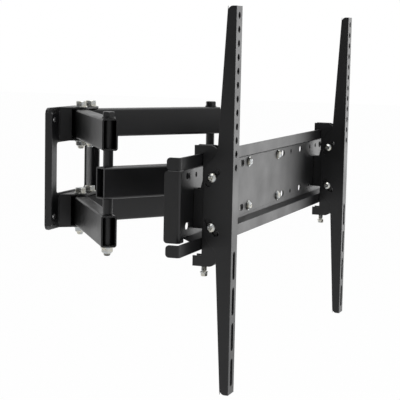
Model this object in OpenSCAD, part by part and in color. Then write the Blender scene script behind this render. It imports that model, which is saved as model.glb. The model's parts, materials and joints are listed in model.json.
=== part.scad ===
// Full motion wall mount for a flat screen, with two folding arms.
// Origin: centre of the wall plate's back face. X is to the right, -Y points
// away from the wall towards the screen, Z is up. Millimetres.

/* [Wall plate] */
// Width of the wall plate
plate_w = 150; // [130:1:220]
// Height of the wall plate
plate_h = 160; // [150:1:240]
// Sheet thickness of the wall plate
plate_t = 3; // [2:0.5:5]
// Depth of the bent side rims of the wall plate
rim_d = 10; // [6:0.5:16]
// Outer corner radius of the wall plate
plate_r = 8; // [3:1:16]
// Width of the upright strips beside the window
strip_w = 29; // [22:1:40]
// Across distance of the wall fixing holes
fix_x = 106; // [80:1:160]
// Upright distance of the wall fixing holes
fix_z = 128; // [100:1:200]
// Diameter of the wall fixing holes
fix_d = 7; // [5:0.5:12]
// Diameter of the small starter holes above and below them
pilot_d = 3.5; // [2:0.5:6]

/* [Wall brackets] */
// Sheet thickness of the wall brackets
wb_t = 2.5; // [2:0.5:4]
// Half width of a wall bracket at the plate
wb_back = 40; // [34:0.5:60]
// Distance of the side walls' front edge from the wall
wb_side = 16.5; // [12:0.5:18]
// Radius of the flange around each pivot
wb_r = 10.5; // [9:0.5:14]

/* [Arms] */
// Distance between the pivots at both ends of an arm
arm_l = 200; // [150:1:280]
// Angle of each arm from the wall in the stored pose
fold_deg = 34.5; // [24:1:60]
// Distance of the wall pivots from the wall
pivot_y = 23; // [22:0.5:40]
// Half distance between the left and right pivots
pivot_x = 15; // [15:0.5:30]
// Height of the arm tube
tube_h = 38; // [30:1:60]
// Width of the arm tube
tube_w = 19; // [14:1:20]
// Wall thickness of the arm tube
tube_t = 2; // [1.2:0.1:3]
// Corner radius of the arm tube
tube_r = 3; // [1:0.5:5]
// Length of arm tube past each pivot
tube_over = 10.5; // [8:0.5:11]
// Length of forearm tube past its head pivot
head_over = 8; // [7:0.5:8.5]
// Height of the upper arms' centre above the forearms' centre
arm_z = 57.7; // [50:0.5:90]
// Gap above and below a tube between flanges
side_gap = 0.5; // [0.3:0.1:1.5]

/* [Pivots] */
// Diameter of the pivot bolts
bolt_d = 8; // [6:0.5:10]
// Outside diameter of the sleeves and spacers
sleeve_d = 12; // [11:0.5:16]
// Radial running clearance of a sleeve on its bolt
run_clear = 0.05; // [0.01:0.01:0.1]
// Radial clearance at the right head pivot, where the linkage is open
open_clear = 0.4; // [0.2:0.05:0.8]
// Gap between faces that turn on each other
face_gap = 0.3; // [0.2:0.05:0.6]
// Width across flats of the pivot bolt heads and nuts
bolt_af = 13; // [10:0.5:17]
// Height of a pivot bolt head
bolt_head = 6.4; // [4:0.1:8]
// Height of a pivot nut
bolt_nut = 6.5; // [5:0.1:9]
// Length of thread left below a pivot nut
bolt_tail = 3; // [1:0.5:6]
// Outside diameter of the pivot washers
washer_d = 16; // [14:0.5:20]
// Thickness of the pivot washers
washer_t = 1.6; // [1:0.1:2.5]

/* [Head] */
// Thickness of the swivel yoke's plates
yoke_t = 3; // [2:0.5:5]
// Radius of the yoke plates around the pivots
yoke_r = 11; // [9:0.5:13]
// Diameter of the swivel pins
pin_d = 10; // [8:0.5:12]
// Distance from the swivel axis to the head plate
head_gap = 19; // [18:0.5:28]
// Sheet thickness of the head bracket
head_t = 3; // [2:0.5:4]
// Width of the head bracket's plate
head_w = 152; // [140:1:200]
// Height of the head bracket's plate
head_h = 80; // [78:1:100]
// Height of the head bracket's flanges above the forearms' centre
head_flange_z = 32; // [30:0.5:40]
// Largest levelling angle each way
level_deg = 3; // [1:0.5:5]

/* [Crossbar] */
// Length of the crossbar over its lips
bar_l = 650; // [500:1:900]
// Length of the crossbar's recessed web
web_l = 600; // [580:1:820]
// Sheet thickness of the crossbar
bar_t = 2; // [1.5:0.1:2.5]
// Height over both lips
bar_h = 106.4; // [100:0.2:140]
// Height of each lip
lip_h = 13.2; // [10:0.2:20]
// Half height of the flat web
web_half = 36.5; // [34:0.5:50]
// Distance of the lips' front face behind the screen plane
lip_y = 36.2; // [34.8:0.1:40]
// Distance of the web's front face behind the screen plane
web_y = 46; // [44.7:0.1:52]
// Depth of the folded end tabs on the lips
lip_tab = 15.6; // [8:0.2:24]
// Depth of the folded end tab on the web
web_tab = 18; // [8:0.5:26]
// Extra height of the web's end tab below the web
web_tab_drop = 5.5; // [0:0.5:8]
// Drop of the crossbar's centre below the forearms' centre
bar_drop = 6; // [0:0.5:8]
// Across distance of the crossbar bolts
bar_bolt_x = 124; // [110:1:140]
// Upright distance of the crossbar bolts
bar_bolt_z = 54.4; // [50:0.2:60]
// Height of the bolt pattern above the crossbar's centre
bar_bolt_up = 1.9; // [0:0.5:4]
// Diameter of the crossbar bolts
bar_bolt_d = 6; // [5:0.5:8]

/* [Hook brackets] */
// Distance of each rail from the centre
rail_x = 250; // [110:1:290]
// Sheet thickness of the hook brackets
hook_t = 2; // [1.5:0.1:2.6]
// Distance of the hook walls' front edge behind the screen plane
hook_front = 18; // [16:0.5:20]
// Distance of the locking screw behind the screen plane
lock_y = 34.5; // [32:0.5:36]
// Diameter of the locking screws
lock_d = 4.5; // [4:0.5:8]

/* [Rails] */
// Length of each rail
rail_l = 427.5; // [300:0.5:700]
// Width of each rail
rail_w = 19.6; // [18:0.2:30]
// Sheet thickness of the rails
rail_t = 1.8; // [1.5:0.1:2.2]
// Depth of the rail's ears around the tilt bolts
rail_ear = 34; // [32:0.5:34]
// Depth of the rail's sides beside the ears
rail_mid = 18.5; // [16:0.5:20]
// Depth of the rail's sides at its ends
rail_end = 10; // [6:0.5:16]
// Diameter of the rail's holes and width of its slots
hole_d = 7.5; // [5:0.1:10]
// Distance between the round holes
hole_pitch = 15; // [10:1:25]
// Height of the top hole above the crossbar's centre
hole_top = 203.5; // [150:1:340]
// Number of round holes
hole_n = 12; // [4:1:16]
// Length of each slot over its round ends
slot_l = 31.5; // [20:0.5:36]
// Distance between the slots
slot_pitch = 40; // [36:1:60]
// Height of the first slot's centre
slot_top = -69.5; // [-100:1:-60]
// Number of slots
slot_n = 4; // [1:1:6]

/* [Tilt] */
// Distance of the tilt axis in front of the screen plane
tilt_front = 12; // [5:0.5:20]
// Distance of the tilt bolts behind the screen plane
tilt_y = 24; // [22:0.5:26]
// Half upright distance between the tilt bolts
tilt_half = 27.5; // [24:0.5:30]
// Largest tilt each way
tilt_deg = 10; // [5:1:10]
// Diameter of the tilt bolts
tilt_d = 6; // [5:0.5:8]

/* [Hidden] */
$fn = 48;
eps = 0.01;
COAT = [0.10, 0.10, 0.11];
ZINC = [0.78, 0.79, 0.80];

arm_dx = arm_l * cos(fold_deg);
arm_dy = arm_l * sin(fold_deg);
elbow_x = pivot_x + arm_dx;
elbow_y = -pivot_y - arm_dy;
head_y = -pivot_y - 2 * arm_dy;
window_w = plate_w - 2 * strip_w;

// Heights of the arm tubes, the wall brackets and the forearm
arm_top = arm_z + tube_h / 2;
arm_bot = arm_z - tube_h / 2;
fore_top = tube_h / 2;
wb_top = arm_top + side_gap + wb_t;
wb_bot = arm_bot - side_gap - wb_t;
wb_h = wb_top - wb_bot;
window_h = 2 * wb_bot - 4;
yoke_bot = fore_top + face_gap;
yoke_top = yoke_bot + yoke_t;
flange_top = head_flange_z + wb_t;
pin_l = flange_top + face_gap + 2.5 - yoke_top;

// Depths of the head and the screen plane
head_front = head_y - head_gap - head_t;
screen_y = head_front - face_gap - bar_t - web_y;
bar_z = -bar_drop;
level_z = bar_z + bar_bolt_up;
hook_out = rail_w / 2 - rail_t - face_gap;
hook_in = hook_out - hook_t;
hook_top = 62.3;
hook_low = -71.5;
hook_back = web_y - face_gap;
notch = lip_y - 0.9;
tilt_r = sqrt(pow(tilt_y + tilt_front, 2) + pow(tilt_half, 2));
tilt_a = atan2(tilt_half, tilt_y + tilt_front);
small_af = 10;
small_washer_d = 12;
small_washer_t = 1.2;
tilt_washer_d = 10;
tilt_washer_t = 0.8;
small_nut = 5;
lock_af = 7;

// ---------- shared shapes ----------

// Rectangle with round corners, centred
module round_rect(w, h, r) {
    square([w - 2 * r, h], center = true);
    square([w, h - 2 * r], center = true);
    for (x = [-1, 1], y = [-1, 1])
        translate([x * (w / 2 - r), y * (h / 2 - r)])
            circle(r = r);
}

// Stands a shape drawn in depth and height upright, and makes it w wide in X
module sideways(w) {
    rotate([90, 0, 90])
        linear_extrude(w, center = true)
            children();
}

// Plate drawn in X and Z, with its front at y = 0 and thickness t towards +Y
module upright(t) {
    translate([0, t, 0])
        rotate([90, 0, 0])
            linear_extrude(t)
                children();
}

// Ring standing on z = 0
module ring(d_out, d_in, h) {
    difference() {
        cylinder(d = d_out, h = h);
        translate([0, 0, -eps])
            cylinder(d = d_in, h = h + 2 * eps);
    }
}

// Six-sided prism standing on z = 0, measured across its flats
module hex(af, h) {
    rotate([0, 0, 30])
        cylinder(d = af / cos(30), h = h, $fn = 6);
}

// Hexagon with its corners turned off at the top
module hex_head(af, h) {
    intersection() {
        hex(af, h);
        union() {
            cylinder(d = af * 1.16, h = h - 1);
            translate([0, 0, h - 1 - eps])
                cylinder(d1 = af * 1.16, d2 = af * 0.94, h = 1 + eps);
        }
    }
}

// Bolt with its head's underside at z = 0 and its shank of length l below
module hex_bolt(d, af, head, l) {
    hex_head(af, head);
    translate([0, 0, -l + 1])
        cylinder(d = d, h = l - 1 + eps);
    translate([0, 0, -l])
        cylinder(d1 = d - 2, d2 = d, h = 1);
}

// Cross-recessed screw with a pan head of diameter head and a shank of length l below
module pan_screw(d, head, l) {
    edge_h = 1.2;
    dome_h = 1.8;
    difference() {
        union() {
            cylinder(d = head, h = edge_h);
            translate([0, 0, edge_h - eps])
                cylinder(d1 = head, d2 = head * 0.6, h = dome_h);
        }
        for (a = [0, 90])
            rotate([0, 0, a + 20])
                translate([0, 0, edge_h + dome_h])
                    cube([1.2, head * 0.5, 3], center = true);
    }
    translate([0, 0, -l + 1])
        cylinder(d = d, h = l - 1 + eps);
    translate([0, 0, -l])
        cylinder(d1 = d - 2, d2 = d, h = 1);
}

// Nut with its seat at z = 0 and its domed end below
module lock_nut(af, d, h) {
    difference() {
        union() {
            mirror([0, 0, 1])
                hex_head(af, h - 1.2);
            translate([0, 0, -h])
                cylinder(d1 = af * 0.80, d2 = af * 0.88, h = 1.4);
        }
        translate([0, 0, -h - 1])
            cylinder(d = d, h = h + 2);
    }
}

// Places children at the left (-1) or right (1) wall pivot
module at_wall_pivot(side) {
    translate([side * pivot_x, -pivot_y, 0])
        children();
}

// Places children at an elbow
module at_elbow(side) {
    translate([side * elbow_x, elbow_y, 0])
        children();
}

// Places children at a head pivot
module at_head_pivot(side) {
    translate([side * pivot_x, head_y, 0])
        children();
}

// Turns children from +X to run from the wall pivot to the elbow
module along_arm(side) {
    rotate([0, 0, side < 0 ? 180 + fold_deg : -fold_deg])
        children();
}

// Turns children from +X to run from the elbow to the head pivot
module along_forearm(side) {
    rotate([0, 0, side < 0 ? -fold_deg : 180 + fold_deg])
        children();
}

// Places children at the crossbar's centre in the screen plane
module at_screen(x = 0) {
    translate([x, screen_y, bar_z])
        children();
}

// ---------- arms ----------

// Rectangular tube along +X with a sleeve hole at each pivot.
// It reaches past the pivots by tube_over at its start and by over at its end.
module arm_tube(over) {
    difference() {
        translate([-tube_over, 0, 0])
            rotate([90, 0, 90])
                linear_extrude(tube_over + arm_l + over)
                    difference() {
                        round_rect(tube_w, tube_h, tube_r);
                        round_rect(tube_w - 2 * tube_t, tube_h - 2 * tube_t, tube_r - tube_t + 0.3);
                    }
        for (x = [0, arm_l])
            translate([x, 0, -tube_h / 2 - 1])
                cylinder(d = sleeve_d, h = tube_h + 2);
    }
}

// Sleeve through a tube, centred on z = 0
module arm_sleeve(clear) {
    translate([0, 0, -tube_h / 2])
        ring(sleeve_d, bolt_d + 2 * clear, tube_h);
}

module upper_arm(side) {
    color(COAT)
        at_wall_pivot(side)
            translate([0, 0, arm_z])
                along_arm(side)
                    arm_tube(tube_over);
}

module lower_arm(side) {
    color(COAT)
        at_wall_pivot(side)
            translate([0, 0, -arm_z])
                along_arm(side)
                    arm_tube(tube_over);
}

module forearm(side) {
    color(COAT)
        at_elbow(side)
            along_forearm(side)
                arm_tube(head_over);
}

module left_upper_arm() { upper_arm(-1); }
module left_lower_arm() { lower_arm(-1); }
module right_upper_arm() { upper_arm(1); }
module right_lower_arm() { lower_arm(1); }
module left_forearm() { forearm(-1); }
module right_forearm() { forearm(1); }

module arm_sleeves(side) {
    color(COAT)
        for (z = [-arm_z, arm_z])
            translate([0, 0, z]) {
                at_wall_pivot(side)
                    arm_sleeve(run_clear);
                at_elbow(side)
                    arm_sleeve(run_clear);
            }
}

module left_arm_sleeves() { arm_sleeves(-1); }
module right_arm_sleeves() { arm_sleeves(1); }

module forearm_sleeves(side) {
    color(COAT) {
        at_elbow(side)
            arm_sleeve(run_clear);
        at_head_pivot(side)
            arm_sleeve(side < 0 ? run_clear : open_clear);
    }
}

module left_forearm_sleeves() { forearm_sleeves(-1); }
module right_forearm_sleeves() { forearm_sleeves(1); }

// ---------- elbows ----------

module elbow_bolt(side) {
    color(COAT)
        at_elbow(side)
            translate([0, 0, arm_top + washer_t])
                hex_bolt(bolt_d, bolt_af, bolt_head,
                    2 * arm_top + 2 * washer_t + bolt_nut + bolt_tail);
}

// Washer whose lower face is at height z
module elbow_washer(side, z) {
    at_elbow(side)
        translate([0, 0, z])
            ring(washer_d, bolt_d + 0.4, washer_t);
}

module elbow_nut(side) {
    color(ZINC)
        at_elbow(side)
            translate([0, 0, -arm_top - washer_t])
                lock_nut(bolt_af, bolt_d, bolt_nut);
}

// Tubes that hold the upper and lower arm away from the forearm
module elbow_spacers(side) {
    gap = arm_bot - fore_top - face_gap;
    color(COAT)
        at_elbow(side)
            for (z = [fore_top + face_gap, -arm_bot])
                translate([0, 0, z])
                    ring(sleeve_d, bolt_d + 0.4, gap);
}

module left_elbow_bolt() { elbow_bolt(-1); }
module right_elbow_bolt() { elbow_bolt(1); }
module left_elbow_head_washer() { color(COAT) elbow_washer(-1, arm_top); }
module right_elbow_head_washer() { color(COAT) elbow_washer(1, arm_top); }
module left_elbow_nut_washer() { color(ZINC) elbow_washer(-1, -arm_top - washer_t); }
module right_elbow_nut_washer() { color(ZINC) elbow_washer(1, -arm_top - washer_t); }
module left_elbow_nut() { elbow_nut(-1); }
module right_elbow_nut() { elbow_nut(1); }
module left_elbow_spacers() { elbow_spacers(-1); }
module right_elbow_spacers() { elbow_spacers(1); }

// ---------- wall side ----------

module wall_plate() {
    color(COAT)
        difference() {
            union() {
                translate([0, -plate_t, 0])
                    upright(plate_t)
                        round_rect(plate_w, plate_h, plate_r);
                for (s = [-1, 1])
                    translate([s * (plate_w - plate_t) / 2, -rim_d / 2, 0])
                        sideways(plate_t)
                            round_rect(rim_d, plate_h - 2 * plate_r + 4, 2);
            }
            translate([0, 1 - plate_t - 2, 0])
                upright(plate_t + 2)
                    round_rect(window_w, window_h, 4);
            for (x = [-fix_x / 2, fix_x / 2], s = [-1, 1]) {
                translate([x, 1, s * fix_z / 2])
                    rotate([90, 0, 0])
                        cylinder(d = fix_d, h = plate_t + 2);
                translate([x, 1, s * (fix_z / 2 + 10)])
                    rotate([90, 0, 0])
                        cylinder(d = pilot_d, h = plate_t + 2);
            }
        }
}

// Outline of a wall bracket's flange, seen from above
module wb_flange() {
    polygon([
        [-wb_back, -plate_t],
        [-pivot_x - wb_r, -pivot_y],
        [pivot_x + wb_r, -pivot_y],
        [wb_back, -plate_t]
    ]);
    for (s = [-1, 1])
        translate([s * pivot_x, -pivot_y])
            circle(r = wb_r);
    translate([0, -pivot_y - wb_r / 2])
        square([2 * pivot_x, wb_r], center = true);
}

// Slanted side walls and the back wall against the plate, seen from above
module wb_walls() {
    slope = (wb_back - pivot_x - wb_r) / (pivot_y - plate_t);
    skin = wb_t * sqrt(1 + slope * slope);
    edge = wb_back - slope * (wb_side - plate_t);
    difference() {
        polygon([
            [-wb_back, -plate_t],
            [-edge, -wb_side],
            [edge, -wb_side],
            [wb_back, -plate_t]
        ]);
        polygon([
            [-wb_back + skin + slope * wb_t, -plate_t - wb_t],
            [-edge + skin - slope, -wb_side - 1],
            [edge - skin + slope, -wb_side - 1],
            [wb_back - skin - slope * wb_t, -plate_t - wb_t]
        ]);
    }
}

// Folded bracket standing on z = 0, with a flange above and below the arms
module wall_bracket() {
    difference() {
        union() {
            for (z = [0, wb_h - wb_t])
                translate([0, 0, z])
                    linear_extrude(wb_t)
                        wb_flange();
            linear_extrude(wb_h)
                wb_walls();
        }
        for (s = [-1, 1])
            translate([s * pivot_x, -pivot_y, -1])
                cylinder(d = bolt_d + 2 * run_clear, h = wb_h + 2);
    }
}

module upper_wall_bracket() {
    color(COAT)
        translate([0, 0, wb_bot])
            wall_bracket();
}

module lower_wall_bracket() {
    color(COAT)
        translate([0, 0, -wb_top])
            wall_bracket();
}

// Places children on top of each bracket at each wall pivot
module each_wall_pivot() {
    for (side = [-1, 1], z = [wb_top, -wb_bot])
        at_wall_pivot(side)
            translate([0, 0, z])
                children();
}

module wall_pivot_bolts() {
    color(ZINC)
        each_wall_pivot()
            translate([0, 0, washer_t])
                hex_bolt(bolt_d, bolt_af, bolt_head,
                    wb_h + 2 * washer_t + bolt_nut + bolt_tail);
}

module wall_pivot_washers() {
    color(ZINC)
        each_wall_pivot() {
            ring(washer_d, bolt_d + 0.4, washer_t);
            translate([0, 0, -wb_h - washer_t])
                ring(washer_d, bolt_d + 0.4, washer_t);
        }
}

module wall_pivot_nuts() {
    color(ZINC)
        each_wall_pivot()
            translate([0, 0, -wb_h - washer_t])
                lock_nut(bolt_af, bolt_d, bolt_nut);
}

// ---------- head ----------

// Swivel yoke: one plate above and one below the forearms
module yoke_plates() {
    color(COAT)
        for (z = [yoke_bot, -yoke_top])
            translate([0, head_y, z])
                difference() {
                    linear_extrude(yoke_t) {
                        for (s = [-1, 1])
                            translate([s * pivot_x, 0])
                                circle(r = yoke_r);
                        square([2 * pivot_x, 2 * yoke_r], center = true);
                    }
                    for (s = [-1, 1])
                        translate([s * pivot_x, 0, -1])
                            cylinder(d = bolt_d + 0.1, h = yoke_t + 2);
                }
}

// Short pins that stand out of the yoke above and below
module swivel_pins() {
    color(COAT)
        for (z = [yoke_top, -yoke_top - pin_l])
            translate([0, head_y, z])
                cylinder(d = pin_d, h = pin_l);
}

module swivel_caps() {
    color(ZINC)
        for (s = [-1, 1])
            translate([0, head_y, s < 0 ? -flange_top - face_gap - 2 : flange_top + face_gap])
                ring(pin_d + 7, pin_d, 2);
}

module yoke_bolts() {
    color(ZINC)
        for (side = [-1, 1])
            at_head_pivot(side)
                translate([0, 0, yoke_top + small_washer_t])
                    hex_bolt(bolt_d, bolt_af, 5.3,
                        2 * yoke_top + 2 * small_washer_t + 6 + 1);
}

module yoke_washers() {
    color(ZINC)
        for (side = [-1, 1], z = [yoke_top, -yoke_top - small_washer_t])
            at_head_pivot(side)
                translate([0, 0, z])
                    ring(washer_d, bolt_d + 0.4, small_washer_t);
}

module yoke_nuts() {
    color(ZINC)
        for (side = [-1, 1])
            at_head_pivot(side)
                translate([0, 0, -yoke_top - small_washer_t])
                    lock_nut(bolt_af, bolt_d, 6);
}

// Slot for a crossbar bolt, long enough for the levelling travel
module level_slot(x, z) {
    r = sqrt(x * x + z * z);
    travel = r * sin(level_deg) + 0.3;
    rotate([0, -atan2(z, x), 0])
        translate([r, 0, 0])
            rotate([90, 0, 0]) {
                for (s = [-1, 1])
                    translate([0, s * travel, -10])
                        cylinder(d = bar_bolt_d + 0.8, h = 20);
                cube([bar_bolt_d + 0.8, 2 * travel, 20], center = true);
            }
}

module head_bracket() {
    color(COAT)
        translate([0, head_y, 0])
            difference() {
                union() {
                    translate([0, -head_gap - head_t, level_z])
                        upright(head_t)
                            round_rect(head_w, head_h, 6);
                    for (z = [head_flange_z, -flange_top])
                        translate([0, 0, z])
                            linear_extrude(wb_t) {
                                circle(r = 11);
                                polygon([
                                    [-11, 0],
                                    [-24, -head_gap],
                                    [-24, -head_gap - 1],
                                    [24, -head_gap - 1],
                                    [24, -head_gap],
                                    [11, 0]
                                ]);
                            }
                }
                translate([0, 0, -60])
                    cylinder(d = pin_d + 2 * run_clear, h = 120);
                translate([0, -head_gap - head_t / 2, level_z])
                    for (x = [-1, 1], z = [-1, 1])
                        level_slot(x * bar_bolt_x / 2, z * bar_bolt_z / 2);
            }
}

// ---------- crossbar ----------

// Upright section of the crossbar: depth along x, height along y
module bar_section() {
    half = bar_h / 2;
    lip_in = half - lip_h;
    polygon([
        [lip_y, half],
        [lip_y + bar_t, half],
        [lip_y + bar_t, lip_in + bar_t * 0.6],
        [web_y + bar_t, web_half + bar_t * 0.4],
        [web_y + bar_t, -web_half - bar_t * 0.4],
        [lip_y + bar_t, -lip_in - bar_t * 0.6],
        [lip_y + bar_t, -half],
        [lip_y, -half],
        [lip_y, -lip_in],
        [web_y, -web_half],
        [web_y, web_half],
        [lip_y, lip_in]
    ]);
}

// End strip that turns back from the front face with a soft bend.
// It starts at x = 0, ends at x = len and reaches back by depth.
module folded_end(len, depth, h) {
    r = 3.5;
    linear_extrude(h, center = true) {
        square([len - r, bar_t]);
        translate([len - r, r])
            intersection() {
                difference() {
                    circle(r = r);
                    circle(r = r - bar_t);
                }
                translate([0, -r])
                    square([r, r]);
            }
    }
    translate([len - bar_t, r, 0])
        rotate([90, 0, 90])
            linear_extrude(bar_t)
                difference() {
                    translate([0, -h / 2])
                        square([depth - r, h]);
                    for (s = [-1, 1])
                        translate([depth - r, s * h / 2])
                            corner_cut(4, s);
                }
}

// Piece removed to round a corner of radius r at the origin
module corner_cut(r, s) {
    difference() {
        translate([-r, s > 0 ? -r : -eps])
            square([r + eps, r + eps]);
        translate([-r, -s * r])
            circle(r = r);
    }
}

module crossbar() {
    web_start = web_l / 2 - 14;
    color(COAT)
        at_screen()
            difference() {
                union() {
                    sideways(2 * web_start)
                        bar_section();
                    for (s = [-1, 1])
                        scale_x(s)
                            translate([web_start - eps, 0, 0]) {
                                for (z = [-1, 1])
                                    translate([0, lip_y, z * (bar_h - lip_h) / 2])
                                        folded_end(bar_l / 2 - web_start, lip_tab, lip_h);
                                translate([0, web_y, -web_tab_drop / 2])
                                    folded_end(web_l / 2 - web_start, web_tab, 2 * web_half + web_tab_drop);
                            }
                }
                bar_holes();
            }
}

// Mirrors children for s = -1
module scale_x(s) {
    if (s < 0)
        mirror([1, 0, 0])
            children();
    else
        children();
}

// Round hole or level slot through the web
module web_hole(x, z, d, l = 0) {
    translate([x, web_y - 5, z])
        rotate([-90, 0, 0]) {
            for (s = [-1, 1])
                translate([s * l / 2, 0, 0])
                    cylinder(d = d, h = 15);
            if (l > 0)
                translate([-l / 2, -d / 2, 0])
                    cube([l, d, 15]);
        }
}

module bar_holes() {
    for (s = [-1, 1], z = [-1, 1]) {
        row = z * bar_bolt_z / 2 + bar_bolt_up;
        for (x = [250, 220, 124])
            web_hole(s * x, row, 6);
        for (x = [275, 172, 87])
            web_hole(s * x, row, 8, 5);
        web_hole(s * bar_bolt_x / 2, row, bar_bolt_d + 0.1);
    }
}

// Places children at each crossbar bolt, turned so that +z points to the front
module each_bar_bolt() {
    at_screen()
        for (x = [-1, 1], z = [-1, 1])
            translate([x * bar_bolt_x / 2, web_y, z * bar_bolt_z / 2 + bar_bolt_up])
                rotate([90, 0, 0])
                    children();
}

module crossbar_bolts() {
    stack = bar_t + face_gap + head_t + face_gap;
    color(ZINC)
        each_bar_bolt()
            translate([0, 0, small_washer_t])
                pan_screw(bar_bolt_d, small_af, stack + 2 * small_washer_t + small_nut + 1);
}

module crossbar_washers() {
    stack = bar_t + face_gap + head_t + face_gap;
    color(ZINC)
        each_bar_bolt() {
            ring(small_washer_d, bar_bolt_d + 0.3, small_washer_t);
            translate([0, 0, -stack - small_washer_t])
                ring(small_washer_d, bar_bolt_d + 0.3, small_washer_t);
        }
}

module crossbar_nuts() {
    stack = bar_t + face_gap + head_t + face_gap;
    color(ZINC)
        each_bar_bolt()
            translate([0, 0, -stack - small_washer_t])
                lock_nut(small_af, bar_bolt_d, small_nut);
}

// ---------- hook brackets ----------

// Side outline of a hook bracket: depth along x, height along y
module hook_outline() {
    seat = bar_h / 2 + face_gap;
    difference() {
        polygon([
            [hook_front, hook_low],
            [hook_front, hook_top],
            [hook_back, hook_top],
            [hook_back, seat - lip_h + 3],
            [lip_y + bar_t + 0.6, seat - lip_h + 3],
            [lip_y + bar_t + 0.6, seat],
            [lip_y - 0.6, seat],
            [lip_y - 0.6, 24],
            [lip_y + 2, 14],
            [hook_back, 14],
            [hook_back, -29.5],
            [notch, -29.5],
            [notch, -60],
            [hook_back, -60],
            [hook_back, hook_low]
        ]);
        translate([hook_front, hook_top])
            mirror([1, 0])
                corner_cut(9, 1);
        translate([hook_front, hook_low])
            mirror([1, 0])
                corner_cut(9, -1);
    }
}

// Curved slot around the tilt axis for the bolt at angle a
module tilt_slot(a) {
    w = tilt_d + 0.8;
    lo = a - tilt_deg - 0.4;
    hi = a + tilt_deg + 0.4;
    translate([-tilt_front, 0]) {
        intersection() {
            difference() {
                circle(r = tilt_r + w / 2, $fn = 96);
                circle(r = tilt_r - w / 2, $fn = 96);
            }
            polygon([
                [0, 0],
                [90 * cos(lo), 90 * sin(lo)],
                [90 * cos((lo + hi) / 2), 90 * sin((lo + hi) / 2)],
                [90 * cos(hi), 90 * sin(hi)]
            ]);
        }
        for (b = [lo, hi])
            translate([tilt_r * cos(b), tilt_r * sin(b)])
                circle(d = w);
    }
}

// Folded channel that hangs on the crossbar inside a rail
module hook_bracket(side) {
    color(COAT)
        at_screen(side * rail_x)
            difference() {
                sideways(2 * hook_out)
                    hook_outline();
                difference() {
                    translate([-hook_in, hook_front + hook_t, -100])
                        cube([2 * hook_in, 50, 200]);
                    translate([-hook_in - 1, 24, hook_low])
                        cube([2 * hook_in + 2, 18, 3]);
                }
                translate([0, lock_y, -80])
                    cylinder(d = lock_d, h = 20);
                for (s = [-1, 1])
                    translate([-hook_out - 1, tilt_y, s * tilt_half])
                        rotate([0, 90, 0])
                            cylinder(d = tilt_d + 0.1, h = 2 * hook_out + 2);
            }
}

module left_hook_bracket() { hook_bracket(-1); }
module right_hook_bracket() { hook_bracket(1); }

// Locking screw under the lower hook, with a flanged hexagon head
module lock_screw(side) {
    color(ZINC)
        at_screen(side * rail_x)
            translate([0, lock_y, -bar_h / 2 - face_gap])
                mirror([0, 0, 1]) {
                    cylinder(d = lock_d, h = 26);
                    translate([0, 0, 25])
                        cylinder(d = lock_af + 2, h = 1.2);
                    translate([0, 0, 26])
                        hex_head(lock_af, 4);
                }
}

module left_lock_screw() { lock_screw(-1); }
module right_lock_screw() { lock_screw(1); }

// ---------- rails ----------

// Side outline of a rail with its ears for the tilt bolts
module rail_side() {
    half = rail_l / 2;
    difference() {
        polygon([
            [0, half],
            [rail_end, half],
            [rail_mid, 54],
            [rail_ear, 38],
            [rail_ear, -38],
            [rail_mid, -54],
            [rail_end, -half],
            [0, -half]
        ]);
        for (s = [-1, 1]) {
            translate([rail_end, s * half])
                corner_cut(6, s);
            tilt_slot(s * tilt_a);
        }
    }
}

module rail(side) {
    half = rail_l / 2;
    color(COAT)
        at_screen(side * rail_x)
            difference() {
                sideways(rail_w)
                    rail_side();
                translate([-rail_w / 2 + rail_t, rail_t, -half - 1])
                    cube([rail_w - 2 * rail_t, 50, rail_l + 2]);
                for (i = [0 : hole_n - 1])
                    translate([0, -1, hole_top - i * hole_pitch])
                        rotate([-90, 0, 0])
                            cylinder(d = hole_d, h = rail_t + 2);
                for (i = [0 : slot_n - 1])
                    translate([0, -1, slot_top - i * slot_pitch])
                        rotate([-90, 0, 0]) {
                            for (s = [-1, 1])
                                translate([0, s * (slot_l - hole_d) / 2, 0])
                                    cylinder(d = hole_d, h = rail_t + 2);
                            translate([-hole_d / 2, -(slot_l - hole_d) / 2, 0])
                                cube([hole_d, slot_l - hole_d, rail_t + 2]);
                        }
            }
}

module left_rail() { rail(-1); }
module right_rail() { rail(1); }

// Places children at both tilt bolts of a rail, with +z towards -X
module each_tilt_bolt(side) {
    at_screen(side * rail_x)
        for (s = [-1, 1])
            translate([-rail_w / 2 - face_gap, tilt_y, s * tilt_half])
                rotate([0, -90, 0])
                    children();
}

module tilt_bolts(side) {
    stack = rail_w + 2 * face_gap;
    color(ZINC)
        each_tilt_bolt(side)
            translate([0, 0, tilt_washer_t])
                pan_screw(tilt_d, tilt_washer_d - 0.5, stack + 2 * tilt_washer_t + small_nut + 1.5);
}

module tilt_washers(side) {
    stack = rail_w + 2 * face_gap;
    color(ZINC)
        each_tilt_bolt(side) {
            ring(tilt_washer_d, tilt_d + 0.3, tilt_washer_t);
            translate([0, 0, -stack - tilt_washer_t])
                ring(tilt_washer_d, tilt_d + 0.3, tilt_washer_t);
        }
}

module tilt_nuts(side) {
    stack = rail_w + 2 * face_gap;
    color(ZINC)
        each_tilt_bolt(side)
            translate([0, 0, -stack - tilt_washer_t])
                lock_nut(small_af, tilt_d, small_nut);
}

module left_tilt_bolts() { tilt_bolts(-1); }
module right_tilt_bolts() { tilt_bolts(1); }
module left_tilt_washers() { tilt_washers(-1); }
module right_tilt_washers() { tilt_washers(1); }
module left_tilt_nuts() { tilt_nuts(-1); }
module right_tilt_nuts() { tilt_nuts(1); }

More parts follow.
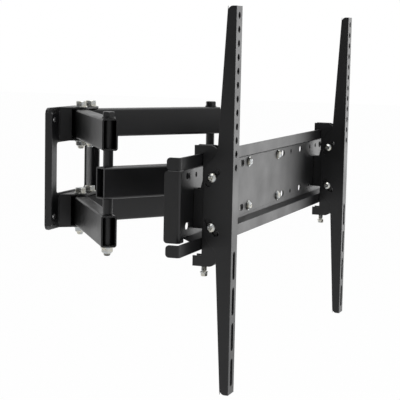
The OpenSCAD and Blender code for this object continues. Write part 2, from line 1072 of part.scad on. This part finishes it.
wall_plate();
upper_wall_bracket();
lower_wall_bracket();
wall_pivot_bolts();
wall_pivot_washers();
wall_pivot_nuts();
left_upper_arm();
left_lower_arm();
right_upper_arm();
right_lower_arm();
left_arm_sleeves();
right_arm_sleeves();
left_elbow_bolt();
right_elbow_bolt();
left_elbow_spacers();
right_elbow_spacers();
left_elbow_head_washer();
right_elbow_head_washer();
left_elbow_nut_washer();
right_elbow_nut_washer();
left_elbow_nut();
right_elbow_nut();
left_forearm();
right_forearm();
left_forearm_sleeves();
right_forearm_sleeves();
yoke_plates();
yoke_bolts();
yoke_washers();
yoke_nuts();
swivel_pins();
swivel_caps();
head_bracket();
crossbar();
crossbar_bolts();
crossbar_washers();
crossbar_nuts();
left_hook_bracket();
right_hook_bracket();
left_lock_screw();
right_lock_screw();
left_rail();
right_rail();
left_tilt_bolts();
right_tilt_bolts();
left_tilt_washers();
right_tilt_washers();
left_tilt_nuts();
right_tilt_nuts();
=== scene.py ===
"""A full motion wall mount for a flat screen: black powder-coated steel with bright
zinc-plated fasteners."""
import math

import bmesh
import bpy
from mathutils import Matrix, Vector, noise
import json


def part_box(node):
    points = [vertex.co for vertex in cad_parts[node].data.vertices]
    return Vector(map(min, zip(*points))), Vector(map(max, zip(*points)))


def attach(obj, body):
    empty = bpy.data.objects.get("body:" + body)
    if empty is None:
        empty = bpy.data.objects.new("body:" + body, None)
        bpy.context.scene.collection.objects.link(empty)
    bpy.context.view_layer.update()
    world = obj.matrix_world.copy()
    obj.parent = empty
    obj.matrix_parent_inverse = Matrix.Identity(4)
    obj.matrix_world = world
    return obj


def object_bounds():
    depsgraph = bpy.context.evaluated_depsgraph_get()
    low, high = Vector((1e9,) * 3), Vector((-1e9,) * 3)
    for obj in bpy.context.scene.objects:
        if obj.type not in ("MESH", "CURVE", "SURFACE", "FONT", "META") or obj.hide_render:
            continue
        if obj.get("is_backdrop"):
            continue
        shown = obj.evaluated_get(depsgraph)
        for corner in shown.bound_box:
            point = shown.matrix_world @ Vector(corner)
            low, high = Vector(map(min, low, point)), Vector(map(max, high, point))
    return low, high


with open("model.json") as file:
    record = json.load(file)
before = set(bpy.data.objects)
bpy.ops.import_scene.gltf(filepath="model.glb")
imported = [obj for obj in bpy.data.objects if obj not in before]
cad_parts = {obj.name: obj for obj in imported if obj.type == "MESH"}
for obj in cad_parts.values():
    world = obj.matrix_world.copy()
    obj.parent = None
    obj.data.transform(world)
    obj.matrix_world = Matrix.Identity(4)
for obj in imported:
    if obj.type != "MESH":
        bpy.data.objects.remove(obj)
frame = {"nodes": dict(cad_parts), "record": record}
cad_low, cad_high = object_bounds()
record = frame["record"]
joints = {j["name"]: j for j in record["behaviour"]["joints"]}
MM = 0.001
UP = (0, 0, 1)


# ---------- materials ----------

def srgb(code):
    """A hex colour as linear red, green, blue and alpha."""
    parts = [int(code[i:i + 2], 16) / 255 for i in (1, 3, 5)]
    return [c / 12.92 if c <= 0.04045 else ((c + 0.055) / 1.055) ** 2.4 for c in parts] + [1.0]


def add_node(tree, kind, settings=None, links=None):
    """Adds a node, sets its properties or input values, and links its inputs from other sockets."""
    node = tree.nodes.new(kind)
    for key, value in (settings or {}).items():
        if isinstance(key, str) and hasattr(node, key):
            setattr(node, key, value)
        else:
            node.inputs[key].default_value = value
    for key, socket in (links or {}).items():
        tree.links.new(socket, node.inputs[key])
    return node


def new_material(name):
    """An empty node material and its output."""
    material = bpy.data.materials.new(name)
    material.use_nodes = True
    tree = material.node_tree
    tree.nodes.clear()
    return material, tree, add_node(tree, "ShaderNodeOutputMaterial")


def powder_coat():
    """Baked polyester powder coat: a satin black skin with the fine orange peel that the
    oven leaves. The coat thins over sheared edges, where it looks slightly paler."""
    grain = 0.9 * MM   # real peel is about 0.4 mm, drawn coarser so that it shows
    patch = 45 * MM
    material, tree, output = new_material("satin black powder coat")
    sheet = add_node(tree, "ShaderNodeTexCoord").outputs["Object"]
    peel = add_node(tree, "ShaderNodeTexNoise",
                    {"Scale": 1 / grain, "Detail": 3.0, "Roughness": 0.6}, {"Vector": sheet})
    flow = add_node(tree, "ShaderNodeTexNoise",
                    {"Scale": 1 / patch, "Detail": 4.0, "Roughness": 0.55}, {"Vector": sheet})
    skin = add_node(tree, "ShaderNodeValToRGB", links={"Fac": flow.outputs["Fac"]})
    for stop, place, color in zip(skin.color_ramp.elements, (0.3, 0.7), ("#0c0c0e", "#131315")):
        stop.position, stop.color = place, srgb(color)
    edge = add_node(tree, "ShaderNodeBevel", {"samples": 4, "Radius": 0.7 * MM})
    face = add_node(tree, "ShaderNodeNewGeometry")
    turn = add_node(tree, "ShaderNodeVectorMath", {"operation": "DOT_PRODUCT"},
                    {0: edge.outputs["Normal"], 1: face.outputs["Normal"]})
    thin = add_node(tree, "ShaderNodeMapRange",
                    {"From Min": 0.995, "From Max": 0.85, "To Min": 0.0, "To Max": 0.55},
                    {"Value": turn.outputs["Value"]})
    worn = add_node(tree, "ShaderNodeMix", {"data_type": "RGBA", 7: srgb("#3a3b3e")},
                    {0: thin.outputs["Result"], 6: skin.outputs["Color"]})
    gloss = add_node(tree, "ShaderNodeMapRange",
                     {"From Min": 0.3, "From Max": 0.7, "To Min": 0.36, "To Max": 0.46},
                     {"Value": flow.outputs["Fac"]})
    bump = add_node(tree, "ShaderNodeBump", {"Strength": 0.35, "Distance": 0.06 * MM},
                    {"Height": peel.outputs["Fac"], "Normal": edge.outputs["Normal"]})
    coat = add_node(tree, "ShaderNodeBsdfPrincipled", {"IOR": 1.5},
                    {"Base Color": worn.outputs[2], "Roughness": gloss.outputs["Result"],
                     "Normal": bump.outputs["Normal"]})
    tree.links.new(coat.outputs["BSDF"], output.inputs["Surface"])
    return material


def zinc_plate():
    """Bright zinc plating on cold-formed steel: a silver grey with a faint blue and straw tint,
    and the soft scuffs that a fastener gets in its bag."""
    scuff = 2.2 * MM
    stain = 5 * MM
    material, tree, output = new_material("bright zinc plate")
    metal = add_node(tree, "ShaderNodeTexCoord").outputs["Object"]
    cloud = add_node(tree, "ShaderNodeTexNoise", {"Scale": 1 / stain, "Detail": 3.0},
                     {"Vector": metal})
    rubs = add_node(tree, "ShaderNodeTexNoise",
                    {"Scale": 1 / scuff, "Detail": 5.0, "Roughness": 0.7}, {"Vector": metal})
    tint = add_node(tree, "ShaderNodeValToRGB", links={"Fac": cloud.outputs["Fac"]})
    for stop, place, color in zip(tint.color_ramp.elements, (0.35, 0.65), ("#b9bdc0", "#c9c6ba")):
        stop.position, stop.color = place, srgb(color)
    rough = add_node(tree, "ShaderNodeMapRange",
                     {"From Min": 0.3, "From Max": 0.7, "To Min": 0.22, "To Max": 0.42},
                     {"Value": rubs.outputs["Fac"]})
    edge = add_node(tree, "ShaderNodeBevel", {"samples": 4, "Radius": 0.35 * MM})
    bump = add_node(tree, "ShaderNodeBump", {"Strength": 0.2, "Distance": 0.04 * MM},
                    {"Height": rubs.outputs["Fac"], "Normal": edge.outputs["Normal"]})
    plate = add_node(tree, "ShaderNodeBsdfPrincipled", {"Metallic": 1.0},
                     {"Base Color": tint.outputs["Color"], "Roughness": rough.outputs["Result"],
                      "Normal": bump.outputs["Normal"]})
    tree.links.new(plate.outputs["BSDF"], output.inputs["Surface"])
    return material


finishes = {"black_coat": powder_coat(), "zinc_plate": zinc_plate()}

for part in record["subparts"]:
    node = frame["nodes"][part["node"]]
    node.data.materials.clear()
    node.data.materials.append(finishes[part["material_slot"]])


# ---------- formed pieces ----------

def add_piece(name, mesh, body, slot):
    """Puts a mesh into the scene with its finish and lets it ride on a body."""
    for face in mesh.faces:
        face.smooth = True
    data = bpy.data.meshes.new(name)
    mesh.to_mesh(data)
    mesh.free()
    data.materials.append(finishes[slot])
    piece = bpy.data.objects.new(name, data)
    bpy.context.collection.objects.link(piece)
    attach(piece, body)
    return piece


def sweep(sections):
    """A closed skin through rings of points."""
    mesh = bmesh.new()
    rings = [[mesh.verts.new(point) for point in ring] for ring in sections]
    sides = len(rings[0])
    for ring, after in zip(rings, rings[1:]):
        for i in range(sides):
            j = (i + 1) % sides
            mesh.faces.new((ring[i], ring[j], after[j], after[i]))
    mesh.faces.new(reversed(rings[0]))
    mesh.faces.new(rings[-1])
    mesh.normal_update()
    return mesh


THREAD_STEPS = 20     # straight steps in one turn of a thread
CREST = 0.22 * MM     # how far the ridge stands out of the shank
ROOT = 0.10 * MM      # how far its foot is sunk into the shank
FOOT_HALF = 0.42      # half widths of the ridge's foot and top, as shares of the pitch
TOP_HALF = 0.08
RUN_OUT = 6           # steps over which the ridge fades at each end


def thread(name, body, start, direction, radius, length, pitch):
    """The rolled ridge of a thread, wound from start along direction."""
    axis = Vector(direction).normalized()
    side = axis.orthogonal().normalized()
    turn = Matrix.Rotation(math.tau / THREAD_STEPS, 3, axis)
    steps = max(8, int(THREAD_STEPS * (length - pitch) / pitch))
    sections = []
    for i in range(steps + 1):
        centre = Vector(start) + axis * (pitch * 0.5 + pitch * i / THREAD_STEPS)
        crest = radius + CREST * min(1.0, i / RUN_OUT, (steps - i) / RUN_OUT)
        root = radius - ROOT
        sections.append([
            centre + side * root - axis * pitch * FOOT_HALF,
            centre + side * crest - axis * pitch * TOP_HALF,
            centre + side * crest + axis * pitch * TOP_HALF,
            centre + side * root + axis * pitch * FOOT_HALF,
        ])
        side = turn @ side
    return add_piece(name, sweep(sections), body, "zinc_plate")


PUDDLE = 0.6 * MM     # the torch's advance from one weld puddle to the next
RIPPLE = 0.12         # how much each puddle swells, as a share of the bead
SPATTER = 3 * MM      # the grain of the bead's unevenness
BEAD_SIDES = 10


def weld(name, body, start, end, radius):
    """A short weld bead under the coat, with the ripple that each puddle leaves."""
    start, end = Vector(start), Vector(end)
    axis = (end - start).normalized()
    side = axis.orthogonal().normalized()
    steps = max(6, int((end - start).length / PUDDLE))
    sections = []
    for i in range(steps + 1):
        centre = start.lerp(end, i / steps)
        ripple = RIPPLE * math.sin(i * 1.9) + RIPPLE * noise.noise(centre / SPATTER)
        taper = min(1.0, 0.45 + i / 4, 0.45 + (steps - i) / 4)
        spoke = side * radius * taper * (1 + ripple)
        sections.append([centre + Matrix.Rotation(math.tau * k / BEAD_SIDES, 3, axis) @ spoke
                         for k in range(BEAD_SIDES)])
    return add_piece(name, sweep(sections), body, "black_coat")


BOLT_R = 4 * MM       # M8 pivot bolts
BOLT_PITCH = 1.25 * MM
BOLT_THREAD = 3.2 * MM    # length of thread that shows below a nut
SCREW_R = 3 * MM
SCREW_PITCH = 1.0 * MM
LOCK_HEAD = 5.6 * MM  # head, flange and plain neck of a locking screw
TIP = 0.9 * MM        # plain tip below a bolt's thread

# Threads that show below the nuts of the wall pivots
pivots = {"left": joints["arm_fold"]["pos_m"], "right": joints["right_arm"]["pos_m"]}
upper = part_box("upper_wall_bracket")
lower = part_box("lower_wall_bracket")
bolts_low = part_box("wall_pivot_bolts")[0].z
tail = lower[0].z - bolts_low
for side, (x, y, _) in pivots.items():
    for level, bracket in (("upper", upper), ("lower", lower)):
        start = (x, y, bracket[0].z - tail + TIP)
        thread(f"{side}_{level}_pivot_thread", "wall", start, UP, BOLT_R, BOLT_THREAD, BOLT_PITCH)

# Threads under the elbow nuts
for side in ("left", "right"):
    x, y, _ = joints[f"{side}_elbow"]["pos_m"]
    start = (x, y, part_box(f"{side}_elbow_bolt")[0].z + TIP)
    thread(f"{side}_elbow_thread", f"arm_{side}", start, UP, BOLT_R, BOLT_THREAD, BOLT_PITCH)

# Threads of the locking screws, from the strap down to the head
for side in ("left", "right"):
    low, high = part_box(f"{side}_lock_screw")
    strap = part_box(f"{side}_hook_bracket")[0].z
    start = ((low.x + high.x) / 2, (low.y + high.y) / 2, low.z + LOCK_HEAD)
    thread(f"{side}_lock_thread", f"hook_{side}", start, UP, SCREW_R,
           strap - low.z - LOCK_HEAD, SCREW_PITCH)

# Welds where the brackets' side walls meet the wall plate
plate_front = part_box("upper_wall_bracket")[1].y
bead_end = 5 * MM     # bare length beyond each end of a bead
bead_r = 1.3 * MM
for level, (low, high) in (("upper", upper), ("lower", lower)):
    for side, x in (("left", low.x), ("right", high.x)):
        weld(f"{level}_{side}_bracket_weld", "wall", (x, plate_front, low.z + bead_end),
             (x, plate_front, high.z - bead_end), bead_r)

# ---------- camera ----------

screen_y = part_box("left_rail")[0].y
view_dir = Vector((0.93345, 0.33909, -0.11701)).normalized()
camera_data = bpy.data.cameras.new("camera")
camera_data.sensor_width = 36
camera_data.lens = 119.13
camera_data.clip_end = 60
camera = bpy.data.objects.new("camera", camera_data)
bpy.context.collection.objects.link(camera)
rail_low, rail_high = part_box("left_rail")
rail_middle = (rail_low.x + rail_high.x) / 2
camera.location = (rail_middle - 1.3646, screen_y - 0.4547, rail_high.z - 0.0417)
roll = Matrix.Rotation(math.radians(1.18), 3, "Z").to_quaternion()
camera.rotation_mode = "QUATERNION"
camera.rotation_quaternion = view_dir.to_track_quat("-Z", "Y") @ roll
bpy.context.scene.camera = camera

# ---------- studio ----------

def panel(name, place, target, width, height, power):
    """A soft rectangular lamp that faces target."""
    lamp = bpy.data.lights.new(name, "AREA")
    lamp.shape = "RECTANGLE"
    lamp.size = width
    lamp.size_y = height
    lamp.energy = power
    holder = bpy.data.objects.new(name, lamp)
    bpy.context.collection.objects.link(holder)
    holder.location = place
    holder.rotation_mode = "QUATERNION"
    holder.rotation_quaternion = (Vector(target) - Vector(place)).to_track_quat("-Z", "Y")


def reflected(tree):
    """1 for rays that meet the backdrop in a reflection or through a clear piece."""
    rays = add_node(tree, "ShaderNodeLightPath")
    either = add_node(tree, "ShaderNodeMath", {"operation": "MAXIMUM"},
                      {0: rays.outputs["Is Glossy Ray"], 1: rays.outputs["Is Transmission Ray"]})
    return either.outputs["Value"]


middle = (0, screen_y / 2, 0)
panel("right_front_panel", (3.2, -1.9, 0.3), middle, 2.4, 2.4, 26)
panel("overhead_panel", (0.3, -0.4, 2.6), middle, 2.6, 2.6, 55)
panel("left_panel", (-2.6, -2.6, 1.4), middle, 1.6, 1.6, 5)

world = bpy.data.worlds.new("studio")
bpy.context.scene.world = world
world.use_nodes = True
air = world.node_tree
air.nodes.clear()
sky_out = add_node(air, "ShaderNodeOutputWorld")
# The studio's left wall is hung with black cloth, so steel that faces it stays dark
toward = add_node(air, "ShaderNodeTexCoord").outputs["Generated"]
across = add_node(air, "ShaderNodeSeparateXYZ", links={0: toward}).outputs["X"]
cloth = add_node(air, "ShaderNodeMapRange",
                 {"From Min": -0.85, "From Max": -0.05, "To Min": 0.03, "To Max": 1.0},
                 {"Value": across})
room = add_node(air, "ShaderNodeBackground", {"Color": srgb("#f4f5f7"), "Strength": 0.2})
walls = add_node(air, "ShaderNodeBackground", {"Color": (1, 1, 1, 1)},
                 {"Strength": cloth.outputs["Result"]})
white = add_node(air, "ShaderNodeBackground", {"Color": (1, 1, 1, 1), "Strength": 1.0})
inside = add_node(air, "ShaderNodeMixShader", links={0: reflected(air),
                  1: room.outputs["Background"], 2: walls.outputs["Background"]})
direct = add_node(air, "ShaderNodeLightPath").outputs["Is Camera Ray"]
seen = add_node(air, "ShaderNodeMixShader", links={0: direct, 1: inside.outputs["Shader"],
                2: white.outputs["Background"]})
air.links.new(seen.outputs["Shader"], sky_out.inputs["Surface"])

floor_drop = 0.55
floor_mesh = bmesh.new()
bmesh.ops.create_grid(floor_mesh, x_segments=1, y_segments=1, size=20)
floor_data = bpy.data.meshes.new("floor")
floor_mesh.to_mesh(floor_data)
floor_mesh.free()
floor = bpy.data.objects.new("floor", floor_data)
bpy.context.collection.objects.link(floor)
floor.location.z = cad_low.z - floor_drop
paper, paper_tree, paper_out = new_material("white studio paper")
matt = add_node(paper_tree, "ShaderNodeBsdfDiffuse", {"Color": srgb("#f2f2f2")})
glow = add_node(paper_tree, "ShaderNodeEmission", {"Color": (1, 1, 1, 1), "Strength": 1.0})
straight = add_node(paper_tree, "ShaderNodeLightPath").outputs["Is Camera Ray"]
seen_white = add_node(paper_tree, "ShaderNodeMath", {"operation": "MAXIMUM"},
                      {0: straight, 1: reflected(paper_tree)})
# The little that isn't glow keeps the shadow
glow_share = add_node(paper_tree, "ShaderNodeMath", {"operation": "MULTIPLY", 1: 0.985},
                      {0: seen_white.outputs["Value"]})
lit = add_node(paper_tree, "ShaderNodeMixShader", links={0: glow_share.outputs["Value"],
               1: matt.outputs["BSDF"], 2: glow.outputs["Emission"]})
paper_tree.links.new(lit.outputs["Shader"], paper_out.inputs["Surface"])
floor_data.materials.append(paper)
floor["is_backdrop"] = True

bpy.context.scene.view_settings.view_transform = "Standard"

low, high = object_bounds()
